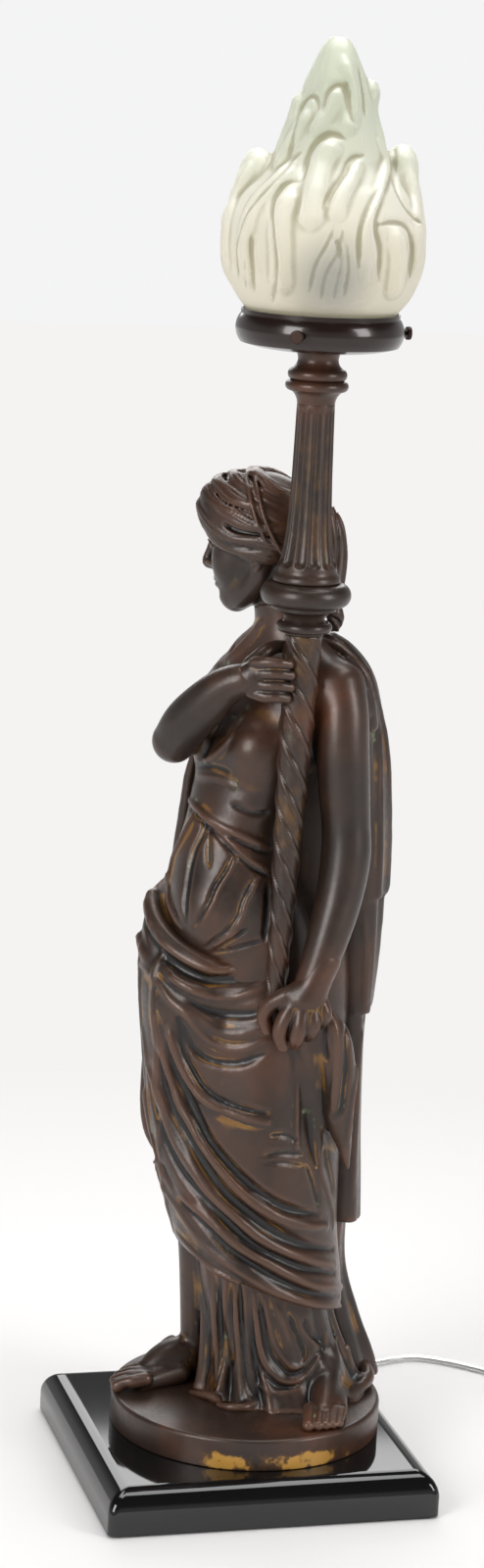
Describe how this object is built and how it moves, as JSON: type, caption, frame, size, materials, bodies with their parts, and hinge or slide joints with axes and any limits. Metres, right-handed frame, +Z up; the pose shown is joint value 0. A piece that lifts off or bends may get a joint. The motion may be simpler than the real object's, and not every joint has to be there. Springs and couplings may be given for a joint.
{
  "type": "figural table lamp",
  "caption": "Table lamp with a draped bronze figure on a square stone slab, holding a tall torch with a flame-shaped frosted glass shade.",
  "frame": {"origin": "middle of the underside of the felt pad under the slab", "axes": "+Z up along the torch; +X and +Y along the slab's sides, +Y towards the face that the cord leaves"},
  "size_m": [0.4457, 0.2947, 0.9833],
  "materials": {
    "bronze": "patinated dark brown bronze cast",
    "stone": "polished black stone",
    "felt": "pressed felt",
    "steel": "zinc plated",
    "brass": "pressed brass",
    "porcelain": "glazed insulator",
    "aluminium": "rolled thread",
    "bulb_glass": "frosted bulb",
    "frosted_glass": "acid-etched pressed glass",
    "screw": "browned brass",
    "clear_plastic": "clear moulded",
    "switch_wheel": "moulded",
    "cord": "clear flex over tinned copper"
  },
  "bodies": {
    "lamp": {"plinth": "bronze", "mantle_skirt": "bronze", "underskirt": "bronze", "right_leg": "bronze", "left_foot": "bronze", "torso": "bronze", "cloak": "bronze", "head": "bronze", "hair": "bronze", "hair_ribbon": "bronze", "left_arm": "bronze", "left_hand": "bronze", "right_arm": "bronze", "right_hand": "bronze", "mantle_fall": "bronze", "twisted_staff": "bronze", "staff_knob": "bronze", "staff_collar": "bronze", "torch_torus": "bronze", "fluted_column": "bronze", "column_cap": "bronze", "gallery_ring": "bronze", "felt_pad": "felt", "slab_base": "stone", "base_washer": "steel", "base_nut": "steel", "base_nipple": "steel", "torch_pipe": "steel", "lock_nut": "steel", "socket_cap": "brass", "socket_shell": "brass", "socket_insulator": "porcelain", "screw_shell": "brass", "centre_contact": "brass", "strain_relief": "clear_plastic", "inner_lead": "cord", "cord_free": "cord", "cord_middle": "cord", "cord_coil": "cord", "cord_tail": "cord", "switch_body": "clear_plastic", "plug_body": "clear_plastic", "plug_blades": "brass"},
    "shade": {"flame_shade": "frosted_glass"},
    "thumbscrew_1": {"thumbscrew_1": "screw"},
    "thumbscrew_2": {"thumbscrew_2": "screw"},
    "thumbscrew_3": {"thumbscrew_3": "screw"},
    "bulb": {"bulb_base": "aluminium", "bulb_glass": "bulb_glass"},
    "switch_wheel": {"switch_wheel": "switch_wheel"}
  },
  "joints": [
    {"name": "shade_lift", "type": "slide", "parent": "lamp", "child": "shade", "axis": [0, 0, 1], "range_m": [0, 0.15]},
    {"name": "bulb_unscrew", "type": "hinge", "parent": "lamp", "child": "bulb", "pos_m": [0.0166, -0.00854, 0.82], "axis": [0, 0, 1], "range_deg": [0, 1440]},
    {"name": "switch_wheel_turn", "type": "hinge", "parent": "lamp", "child": "switch_wheel", "pos_m": [0.2542, 0.072, 0.0075], "axis": [0, 0, 1], "continuous": true},
    {"name": "thumbscrew_1_back_out", "type": "slide", "parent": "lamp", "child": "thumbscrew_1", "axis": [1, 0, 0], "range_m": [0, 0.006]},
    {"name": "thumbscrew_2_back_out", "type": "slide", "parent": "lamp", "child": "thumbscrew_2", "axis": [-0.5, 0.866, 0], "range_m": [0, 0.006]},
    {"name": "thumbscrew_3_back_out", "type": "slide", "parent": "lamp", "child": "thumbscrew_3", "axis": [-0.5, -0.866, 0], "range_m": [0, 0.006]}
  ]
}
